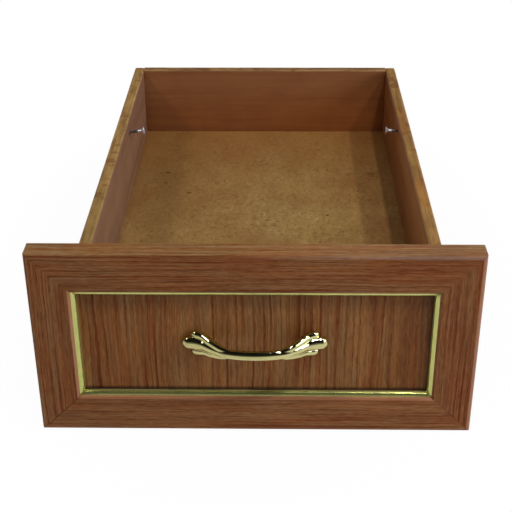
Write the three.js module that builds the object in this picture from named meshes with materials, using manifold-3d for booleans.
// Cabinet drawer: a mitred frame front with a recessed panel, a metal bead and a bow pull,
// on an open box of two sides, a sub-front, a back and a thin hardboard bottom.
// Millimetres, +Z up, +Y from the front towards the back, +X to the right seen from the front.
// Origin: centre of the bounding box in X and Y, lower edge of the front in Z.
import * as THREE from 'three';
import * as BufferGeometryUtils from 'three/addons/utils/BufferGeometryUtils.js';
import Module from 'manifold-3d';

const wasm = await Module();
wasm.setup();

// ---- driving dimensions ----
const FRONT_W = 396;          // front, across the stiles
const FRONT_H = 186;          // front, across the rails
const FRONT_T = 22;           // frame moulding thickness
const MEMBER_W = 37.7;        // outer edge of the front to the bead
const LIP_D = 2.0;            // sloped inner lip of the moulding, into the face
const PANEL_Y = 7;            // recess of the panel below the face
const REBATE_S = 24.5;        // outer edge of the front to the rebate shoulder

const BOX_W = 340;            // across the sides
const BOX_X = 3;              // middle of the box, to the right of the middle of the front
const BOX_D = 550;            // sides, front to back
const BOX_H = 100;            // sides, height
const BOX_Z = 48;             // lower edge of the sides above the lower edge of the front
const BOARD = 12;             // thickness of the sides, sub-front and back
const BOTTOM_T = 4;           // hardboard bottom
const BOTTOM_Z = 58;          // underside of the bottom

const PULL_OUT = 21;          // bow pull, ahead of the face
const PULL_CC = 96;           // bow pull, screw centres
const PULL_Z = FRONT_H / 2 + 2.5;
const PULL_SCREW_R = 2;

const FIX_R = 1.75;           // screws between the box and the front
const FIX_LEN = 23;
const FIX_X = 108;            // their places each way from the middle of the sub-front
const FIX_Z = 27;

const FIT = 0.35;             // radial clearance of a screw shank in its hole
const END_GAP = 0.4;          // clearance beyond the end of a dowel, screw or nail
const OVERRUN = 5;            // how far a cutter runs on past the surface it opens

// ---- derived places ----
const FACE = -(PULL_OUT + FRONT_T + BOX_D) / 2 + PULL_OUT;   // Y of the front's face
const MID_Z = FRONT_H / 2;
const BACK_OF_FRONT = FACE + FRONT_T;
const SUB_FRONT_REAR = BACK_OF_FRONT + BOARD;
const BOX_REAR = BACK_OF_FRONT + BOX_D;
const BOX_TOP = BOX_Z + BOX_H;
const BOTTOM_TOP = BOTTOM_Z + BOTTOM_T;
const IN_L = BOX_X - BOX_W / 2 + BOARD;                      // inner faces of the sides
const IN_R = BOX_X + BOX_W / 2 - BOARD;

// [X direction, Z direction] of each corner of the front and of the sub-front
const CORNERS = {
  top_left: [-1, 1],
  top_right: [1, 1],
  bottom_left: [-1, -1],
  bottom_right: [1, -1],
};
const PULL_SCREWS = [
  { name: 'pull_screw_left', x: -PULL_CC / 2 },
  { name: 'pull_screw_right', x: PULL_CC / 2 },
];
const FIXINGS = Object.entries(CORNERS).map(([corner, [dirX, dirZ]]) => ({
  name: `front_fixing_screw_${corner}`,
  x: BOX_X + dirX * FIX_X,
  z: BOX_Z + BOX_H / 2 + dirZ * FIX_Z,
}));

// ---- materials ----
const OAK_FOIL = { color: 0x69442a, roughness: 0.42, metalness: 0 };
const OAK_PANEL = { color: 0x6e4c28, roughness: 0.45, metalness: 0 };
const GOLD = { color: 0xd8bf5a, roughness: 0.15, metalness: 1 };
const BRASS = { color: 0xd9bd5c, roughness: 0.12, metalness: 1 };
const BOARD_WOOD = { color: 0x7a5233, roughness: 0.6, metalness: 0 };
const HARDBOARD = { color: 0x87693e, roughness: 0.75, metalness: 0 };
const ZINC = { color: 0xb9bdc4, roughness: 0.3, metalness: 1 };
const STEEL = { color: 0x8d8d8f, roughness: 0.4, metalness: 1 };
const BEECH = { color: 0xb98d57, roughness: 0.7, metalness: 0 };

const group = new THREE.Group();

// ---- meshes and solids ----
function indexed(positions, triangles) {
  const geometry = new THREE.BufferGeometry();
  geometry.setAttribute('position', new THREE.BufferAttribute(new Float32Array(positions), 3));
  geometry.setIndex(triangles);
  return geometry;
}

// Welds the vertices, drops collapsed triangles and turns the surface to face outwards.
function closed(geometry) {
  const bare = geometry.clone();
  for (const name of Object.keys(bare.attributes)) {
    if (name !== 'position') bare.deleteAttribute(name);
  }
  const merged = BufferGeometryUtils.mergeVertices(bare, 1e-4);
  const { position } = merged.attributes;
  const index = merged.index.array;
  const triangles = [];
  const [a, b, c] = [new THREE.Vector3(), new THREE.Vector3(), new THREE.Vector3()];
  let volume = 0;
  for (let i = 0; i < index.length; i += 3) {
    const [ia, ib, ic] = [index[i], index[i + 1], index[i + 2]];
    if (ia === ib || ib === ic || ia === ic) continue;
    triangles.push(ia, ib, ic);
    a.fromBufferAttribute(position, ia);
    b.fromBufferAttribute(position, ib);
    c.fromBufferAttribute(position, ic);
    volume += a.dot(b.cross(c));
  }
  if (volume < 0) {
    for (let i = 0; i < triangles.length; i += 3) {
      [triangles[i], triangles[i + 1]] = [triangles[i + 1], triangles[i]];
    }
  }
  return indexed(position.array, triangles);
}

function solid(geometry) {
  const surface = closed(geometry);
  return new wasm.Manifold(new wasm.Mesh({
    numProp: 3,
    vertProperties: new Float32Array(surface.attributes.position.array),
    triVerts: new Uint32Array(surface.index.array),
  }));
}

function shell(manifold) {
  const { vertProperties, triVerts } = manifold.getMesh();
  return indexed(vertProperties, Array.from(triVerts));
}

const cut = (body, ...cutters) => (
  cutters.reduce((rest, cutter) => rest.subtract(solid(cutter)), body));

const join = (geometries) => geometries.map(solid).reduce((whole, part) => whole.add(part));

function add(name, geometry, look) {
  const surface = closed(geometry);
  surface.computeVertexNormals();
  const mesh = new THREE.Mesh(surface, new THREE.MeshStandardMaterial(look));
  mesh.name = name;
  group.add(mesh);
}

// ---- basic shapes ----
function block([x0, x1], [y0, y1], [z0, z1]) {
  return new THREE.BoxGeometry(x1 - x0, y1 - y0, z1 - z0)
    .translate((x0 + x1) / 2, (y0 + y1) / 2, (z0 + z1) / 2);
}

// A cylinder from one point to another.
function rod(from, to, radius, sides = 20) {
  const start = new THREE.Vector3(...from);
  const span = new THREE.Vector3(...to).sub(start);
  const geometry = new THREE.CylinderGeometry(radius, radius, span.length(), sides);
  const up = new THREE.Vector3(0, 1, 0);
  geometry.applyQuaternion(
    new THREE.Quaternion().setFromUnitVectors(up, span.clone().normalize()));
  const middle = start.add(span.multiplyScalar(0.5));
  return geometry.translate(middle.x, middle.y, middle.z);
}

const rodAlongY = (x, z, y0, y1, radius, sides) => rod([x, y0, z], [x, y1, z], radius, sides);

// A profile [u, v] drawn out between two ends; place(u, v, far) gives each point's position.
function drawnOut(profile, place) {
  const outline = new THREE.Shape(profile.map(([u, v]) => new THREE.Vector2(u, v)));
  const geometry = new THREE.ExtrudeGeometry(outline, { depth: 1, bevelEnabled: false, steps: 1 });
  const { position } = geometry.attributes;
  for (let i = 0; i < position.count; i++) {
    const far = position.getZ(i) > 0.5;
    position.setXYZ(i, ...place(position.getX(i), position.getY(i), far));
  }
  return geometry;
}

// ---- fasteners: profiles [radius, y], head face at y = 0 and shank towards -Y ----
function aimed(geometry, from, towards) {
  const direction = new THREE.Vector3(...towards).normalize();
  const down = new THREE.Vector3(0, -1, 0);
  geometry.applyQuaternion(new THREE.Quaternion().setFromUnitVectors(down, direction));
  return geometry.translate(...from);
}

function turned(profile, sides, from, towards) {
  const points = profile.map(([radius, y]) => new THREE.Vector2(radius, y));
  return aimed(new THREE.LatheGeometry(points, sides), from, towards);
}

// A screw with a cross recess of the given size and depth in its head.
function addScrew(name, { profile, sides, size, depth }, from, towards) {
  const recessTurn = 0.4;
  const slots = [0, Math.PI / 2].map((turn) => aimed(
    new THREE.BoxGeometry(size, depth * 2, size * 0.28).rotateY(turn + recessTurn),
    from, towards));
  const screw = solid(turned(profile, sides, from, towards)).subtract(join(slots));
  add(name, shell(screw), ZINC);
}

// ---- front frame and bead: lengths mitred at both ends ----
// Profiles hold [distance from the outer edge, depth below the face].
const MITRE_GAP = 0.2;        // each length is short by this at each end

const FRAME_SIDES = [
  {
    side: 'top', member: 'frame_rail_top', half: FRONT_W / 2,
    place: (inset, depth, along) => [along, FACE + depth, FRONT_H - inset],
  },
  {
    side: 'bottom', member: 'frame_rail_bottom', half: FRONT_W / 2,
    place: (inset, depth, along) => [-along, FACE + depth, inset],
  },
  {
    side: 'left', member: 'frame_stile_left', half: FRONT_H / 2,
    place: (inset, depth, along) => [-FRONT_W / 2 + inset, FACE + depth, MID_Z + along],
  },
  {
    side: 'right', member: 'frame_stile_right', half: FRONT_H / 2,
    place: (inset, depth, along) => [FRONT_W / 2 - inset, FACE + depth, MID_Z - along],
  },
];

function mitred(profile, { half, place }) {
  return drawnOut(profile, (inset, depth, far) => (
    place(inset, depth, (far ? 1 : -1) * (half - inset - MITRE_GAP))));
}

// Rounded lip, rebate for the panel, then the rounded outer arris.
function memberProfile() {
  const arrisR = 3.5, arrisSteps = 4;
  const lipW = 2.4;
  // [share of the lip's width, share of its depth]
  const lipCurve = [[0, 0], [0.4, 0.19], [0.75, 0.47], [0.92, 0.76], [1, 1]];
  const points = lipCurve.map(([u, v]) => [MEMBER_W - lipW + lipW * u, LIP_D * v]);
  points.push([MEMBER_W, PANEL_Y], [REBATE_S, PANEL_Y], [REBATE_S, FRONT_T], [0, FRONT_T]);
  for (let i = arrisSteps; i >= 0; i--) {
    const angle = (i / arrisSteps) * Math.PI / 2;
    points.push([arrisR * (1 - Math.sin(angle)), arrisR * (1 - Math.cos(angle))]);
  }
  return points;
}

// A crowned sloping strip in the corner between the frame and the panel.
function beadProfile() {
  const width = 4.5;          // across the face
  const fall = 4.2;           // into the face
  const crown = 1.1;          // rise above a straight slope
  const steps = 6;
  const points = [[MEMBER_W, PANEL_Y]];
  for (let i = 0; i <= steps; i++) {
    const t = i / steps;
    const rise = crown * Math.sin(t * Math.PI) / Math.hypot(width, fall);
    points.push([MEMBER_W + width * t + fall * rise, LIP_D + fall * t - width * rise]);
  }
  points.push([MEMBER_W + width, PANEL_Y]);
  return points;
}

// Dowel across the mitre at one corner.
function mitreDowel([dirX, dirZ], halfLength, radius) {
  const inset = 15, depth = 14.5;   // from the outer edges, below the face
  const x = dirX * (FRONT_W / 2 - inset);
  const y = FACE + depth;
  const z = MID_Z + dirZ * (FRONT_H / 2 - inset);
  const reach = halfLength / Math.SQRT2;
  const from = [x - reach * dirX, y, z + reach * dirZ];
  const to = [x + reach * dirX, y, z - reach * dirZ];
  return rod(from, to, radius, 16);
}

function addFrame() {
  const dowelR = 3, dowelHalf = 12, dowelFit = 0.3;
  const holes = Object.values(CORNERS)
    .map((corner) => mitreDowel(corner, dowelHalf + END_GAP, dowelR + dowelFit));
  for (const frameSide of FRAME_SIDES) {
    const body = solid(mitred(memberProfile(), frameSide));
    add(frameSide.member, shell(cut(body, ...holes)), OAK_FOIL);
  }
  for (const [name, corner] of Object.entries(CORNERS)) {
    add(`mitre_dowel_${name}`, mitreDowel(corner, dowelHalf, dowelR), BEECH);
  }
  for (const frameSide of FRAME_SIDES) {
    add(`bead_${frameSide.side}`, mitred(beadProfile(), frameSide), GOLD);
  }
}

// ---- recessed panel ----
function addPanel() {
  const edgeGap = 0.5;        // panel to rebate shoulder
  const halfX = FRONT_W / 2 - REBATE_S - edgeGap;
  const halfZ = FRONT_H / 2 - REBATE_S - edgeGap;
  const holeEnd = BACK_OF_FRONT + OVERRUN;
  const fixingTip = SUB_FRONT_REAR - FIX_LEN;
  const body = solid(block(
    [-halfX, halfX], [FACE + PANEL_Y, BACK_OF_FRONT], [MID_Z - halfZ, MID_Z + halfZ]));
  const panel = cut(
    body,
    ...PULL_SCREWS.map(({ x }) => rodAlongY(x, PULL_Z, FACE, holeEnd, PULL_SCREW_R + FIT)),
    ...FIXINGS.map(({ x, z }) => (
      rodAlongY(x, z, fixingTip - END_GAP, holeEnd, FIX_R + FIT, 16))));
  add('centre_panel', shell(panel), OAK_PANEL);
}

// ---- bow pull: a bow that flares into three reeds at each foot ----
const range = (start, end, steps) => (
  Array.from({ length: steps + 1 }, (_, i) => start + ((end - start) * i) / steps));

// Middle line of one half of the pull: [x, y below the face (negative is ahead of it)].
const SPINE = new THREE.CatmullRomCurve3(
  [
    [0, -17.1], [15, -16.1], [28, -12.9], [38, -6.6],
    [46, -0.4], [53, 2.4], [60, 3.1], [66, 3.3],
  ].map(([x, y]) => new THREE.Vector3(x, y, 0)), false, 'centripetal');

// Reed sections: [x, height off the middle line, half height, half depth, y offset]
const MIDDLE_REED = {
  stations: [...range(14, 60, 12), 62.5, 64, 65, 65.6],
  table: [
    [14, 0, 1.8, 1.8, 0], [30, 0.2, 3.6, 3.3, -0.2], [44, 0.6, 5.4, 4.8, -0.4],
    [54, 0.8, 6.5, 5.4, -0.4], [60, 0.9, 6.3, 5.2, -0.2], [64, 0.9, 3.9, 3.4, 0.2],
    [65.6, 0.9, 0.3, 0.35, 0.6],
  ],
};
const OUTER_REED = {
  stations: [...range(12, 52, 11), 54, 55.6, 56.5, 57],
  table: [
    [12, 1.0, 1.8, 1.8, 0], [26, 2.9, 2.9, 2.8, 0], [38, 5.8, 3.5, 3.4, 0.3],
    [47, 7.9, 4.0, 3.7, 1.1], [52, 8.5, 4.1, 3.7, 1.3], [55.6, 8.8, 2.9, 2.7, 1.5],
    [57, 8.8, 0.3, 0.35, 1.6],
  ],
};

// Depth of the middle line at x, found by bisection.
function spineY(x) {
  let low = 0;
  let high = 1;
  for (let i = 0; i < 40; i++) {
    const middle = (low + high) / 2;
    if (SPINE.getPoint(middle).x < x) low = middle;
    else high = middle;
  }
  return SPINE.getPoint(low).y;
}

function spineSlope(x) {
  if (x < 0.5) return 0;      // level at the middle of the bow
  const before = x - 0.5;
  const after = x + 0.5;
  return (spineY(after) - spineY(before)) / (after - before);
}

// Section between table rows, half straight and half eased.
function sectionFrom(table, x) {
  const next = table.findIndex((row, i) => i > 0 && x <= row[0]);
  const [x0, ...before] = table[next - 1];
  const [x1, ...after] = table[next];
  const t = (x - x0) / (x1 - x0);
  const blend = t * t * (3 - 2 * t) * 0.5 + t * 0.5;
  return after.map((value, i) => before[i] * (1 - blend) + value * blend);
}

// Ellipses square to the middle line, at signed x stations. sectionAt(distance from the middle)
// gives [height off the middle line, half height, half depth, y offset].
function sweep(stations, sides, sectionAt) {
  const steps = stations.length - 1;
  const geometry = new THREE.CylinderGeometry(1, 1, 1, sides, steps);
  const { position } = geometry.attributes;
  for (let i = 0; i < position.count; i++) {
    const x = stations[Math.round((position.getY(i) + 0.5) * steps)];
    const distance = Math.abs(x);
    const [height, halfHeight, halfDepth, offsetY] = sectionAt(distance);
    const slope = spineSlope(distance);
    const norm = Math.hypot(1, slope);
    const inward = position.getX(i);
    const upward = position.getZ(i);
    position.setXYZ(
      i,
      x - (Math.sign(x) || 1) * (slope / norm) * inward * halfDepth,
      FACE + spineY(distance) + offsetY + (inward * halfDepth) / norm,
      PULL_Z + height + upward * halfHeight);
  }
  return geometry;
}

// One reed on the left (-1) or right (1) half, set off upwards (1) or downwards (-1).
function reed({ stations, table }, up, side) {
  return sweep(stations.map((x) => side * x), 14, (distance) => {
    const [height, ...rest] = sectionFrom(table, distance);
    return [up * height, ...rest];
  });
}

// The bow itself, from reed to reed, thinner towards its ends.
function bow() {
  const half = 40, taperStart = 26;
  return sweep(range(-half, half, 28), 16, (distance) => {
    const t = Math.max(0, (distance - taperStart) / (half - taperStart));
    return [0, 4.6 * (1 - 0.4 * t * t), 3.9 * (1 - 0.35 * t * t), 0];
  });
}

function addPull() {
  const footR = 4.6;
  const screwHole = { start: FACE + 0.6, end: FACE + 12 };
  const parts = [-1, 1].flatMap((side) => [
    reed(MIDDLE_REED, 1, side),
    reed(OUTER_REED, -1, side),
    reed(OUTER_REED, 1, side),
    rodAlongY(side * PULL_CC / 2, PULL_Z, FACE, FACE + PANEL_Y, footR, 24),
  ]);
  // Everything behind the panel's face is cut away.
  const behindPanel = block(
    [-90, 90], [FACE + PANEL_Y, FACE + 40], [PULL_Z - 30, PULL_Z + 30]);
  const screwHoles = PULL_SCREWS.map(({ x }) => (
    rodAlongY(x, PULL_Z, screwHole.start, screwHole.end, PULL_SCREW_R + FIT)));
  const pull = cut(join([...parts, bow()]), behindPanel, ...screwHoles);
  add('pull_handle', shell(pull), BRASS);
}

// ---- box boards: blanks that the grooves and fastener holes are then cut into ----
// Board section with rounded top edges: [across the thickness, z].
function boardProfile(start, bottomZ) {
  const radius = 2.5, steps = 3;
  const end = start + BOARD;
  const centreZ = BOX_TOP - radius;
  const angles = range(0, Math.PI / 2, steps);
  return [
    [start, bottomZ],
    [end, bottomZ],
    ...angles.map((a) => [end - radius + radius * Math.cos(a), centreZ + radius * Math.sin(a)]),
    ...angles.map((a) => [start + radius - radius * Math.sin(a), centreZ + radius * Math.cos(a)]),
  ];
}

const sideBoard = (startX) => solid(drawnOut(
  boardProfile(startX, BOX_Z), (x, z, far) => [x, far ? BOX_REAR : BACK_OF_FRONT, z]));

const crossBoard = (startY, bottomZ) => solid(drawnOut(
  boardProfile(startY, bottomZ), (y, z, far) => [far ? IN_R : IN_L, y, z]));

const GROOVE = 6;             // groove depth for the bottom
const GROOVE_GAP = 0.5;       // bottom edge to the floor of its groove
const BOTTOM_REAR_GAP = 0.5;  // rear edge of the bottom to the rear of the box

const bottomSlab = (spanX, spanY) => block(spanX, spanY, [BOTTOM_Z, BOTTOM_TOP]);

const box = {
  box_side_left: sideBoard(IN_L - BOARD),
  box_side_right: sideBoard(IN_R),
  box_front: crossBoard(BACK_OF_FRONT, BOX_Z),
  box_back: crossBoard(BOX_REAR - BOARD, BOTTOM_TOP),
  bottom_panel: solid(bottomSlab(
    [IN_L - GROOVE + GROOVE_GAP, IN_R + GROOVE - GROOVE_GAP],
    [SUB_FRONT_REAR - GROOVE + GROOVE_GAP, BOX_REAR - BOTTOM_REAR_GAP])),
};

function cutBox(name, cutter) {
  box[name] = cut(box[name], cutter);
}

function cutGrooves() {
  const sideRun = [BACK_OF_FRONT - OVERRUN, BOX_REAR + OVERRUN];
  cutBox('box_side_left', bottomSlab([IN_L - GROOVE, IN_L + OVERRUN], sideRun));
  cutBox('box_side_right', bottomSlab([IN_R - OVERRUN, IN_R + GROOVE], sideRun));
  cutBox('box_front', bottomSlab(
    [IN_L - OVERRUN, IN_R + OVERRUN], [SUB_FRONT_REAR - GROOVE, SUB_FRONT_REAR + OVERRUN]));
}

// ---- screws that hold the front on, through the sub-front into the panel ----
function addFixings() {
  const forward = [0, -1, 0];
  const holeR = FIX_R + FIT;
  const pocket = [
    [0, 0.5], [3.9, 0.5], [3.9, -0.6], [holeR, -2.9], [holeR, -BOARD - 1], [0, -BOARD - 1],
  ];
  const screw = {
    profile: [
      [0, 0], [3.5, 0], [3.5, -0.35], [FIX_R, -2.3],
      [FIX_R, -FIX_LEN + 3], [0.35, -FIX_LEN], [0, -FIX_LEN],
    ],
    sides: 16, size: 3.6, depth: 1.3,
  };
  for (const { name, x, z } of FIXINGS) {
    const from = [x, SUB_FRONT_REAR, z];
    cutBox('box_front', turned(pocket, 16, from, forward));
    addScrew(name, screw, from, forward);
  }
}

// ---- screws of the bow pull, pan heads inside the box ----
function addPullScrews() {
  const headH = 2.6, length = 34.9;
  const screw = {
    profile: [
      [0, 0], [2.2, -0.05], [3.5, -0.7], [4, -1.7], [4, -headH],
      [PULL_SCREW_R, -headH], [PULL_SCREW_R, -34.2], [1.5, -length], [0, -length],
    ],
    sides: 16, size: 3.8, depth: 1.4,
  };
  for (const { name, x } of PULL_SCREWS) {
    cutBox('box_front', rodAlongY(
      x, PULL_Z, BACK_OF_FRONT - OVERRUN, SUB_FRONT_REAR + OVERRUN, PULL_SCREW_R + FIT));
    addScrew(name, screw, [x, SUB_FRONT_REAR + headH, PULL_Z], [0, -1, 0]);
  }
}

// ---- stop screws, part driven into the sides from the inside ----
// depth is from the front's face, proud is the length left inside the box,
// and tilt is in degrees, with the tip lower than the head.
const STOPS = [
  { side: 'left', x: IN_L, out: -1, depth: 393, z: 131.5, proud: 17.5, tilt: 8 },
  { side: 'right', x: IN_R, out: 1, depth: 390, z: 135.0, proud: 14.5, tilt: 4 },
];

function addStops() {
  const length = 25, radius = 2;
  const screw = {
    profile: [
      [0, 0], [4.3, 0], [4.3, -0.4], [2.2, -2.9], [radius, -3.2],
      [radius, -length + 5], [0.35, -length], [0, -length],
    ],
    sides: 20, size: 4.4, depth: 1.6,
  };
  for (const { side, x, out, depth, z, proud, tilt } of STOPS) {
    const angle = THREE.MathUtils.degToRad(tilt);
    const towards = [out * Math.cos(angle), 0, -Math.sin(angle)];
    // A point on the screw's axis, measured from where it enters the side.
    const onAxis = (distance) => (
      [x + towards[0] * distance, FACE + depth, z + towards[2] * distance]);
    cutBox(`box_side_${side}`, rod(onAxis(-3), onAxis(16), radius + FIT, 20));
    addScrew(`stop_screw_${side}`, screw, onAxis(-proud), towards);
  }
}

// ---- nails: sides to the back, sides to the sub-front, bottom to the back ----
function addNail(name, length, from, towards, nailedParts) {
  const radius = 1.1, headR = 2.6, fit = 0.3, sides = 12;
  const profile = [
    [0, 0], [headR, 0], [headR, -0.9], [radius, -1.3],
    [radius, -length + 3], [0.2, -length], [0, -length],
  ];
  const holeEnd = -length - END_GAP;
  const hole = [
    [0, 0.5], [headR + fit, 0.5], [headR + fit, -1.2], [radius + fit, -1.7],
    [radius + fit, holeEnd], [0, holeEnd],
  ];
  for (const part of nailedParts) cutBox(part, turned(hole, sides, from, towards));
  add(name, turned(profile, sides, from, towards), STEEL);
}

function addNails() {
  const sideNailLength = 38, bottomNailLength = 22, bottomPitch = 110;
  const rearY = BOX_REAR - BOARD / 2;
  const sides = [
    { side: 'left', x: IN_L - BOARD, inward: 1 },
    { side: 'right', x: IN_R + BOARD, inward: -1 },
  ];
  const ends = [
    { end: 'front', y: BACK_OF_FRONT + BOARD / 2 - 2.4, board: 'box_front' },
    { end: 'rear', y: rearY, board: 'box_back' },
  ];
  const levels = [['upper', BOX_TOP - 22], ['lower', BOX_Z + 34]];
  for (const { side, x, inward } of sides) {
    for (const { end, y, board } of ends) {
      for (const [level, z] of levels) {
        addNail(`${side}_side_nail_${end}_${level}`, sideNailLength,
          [x, y, z], [inward, 0, 0], [`box_side_${side}`, board]);
      }
    }
  }
  for (const [i, place] of ['left', 'middle', 'right'].entries()) {
    addNail(`bottom_nail_${place}`, bottomNailLength,
      [BOX_X + (i - 1) * bottomPitch, rearY, BOTTOM_Z], [0, 0, 1], ['bottom_panel', 'box_back']);
  }
}

// ---- assembly: the box boards come last, once every hole is cut ----
addFrame();
addPanel();
addPull();
cutGrooves();
addFixings();
addPullScrews();
addStops();
addNails();
for (const [name, body] of Object.entries(box)) {
  add(name, shell(body), name === 'bottom_panel' ? HARDBOARD : BOARD_WOOD);
}

export default group;
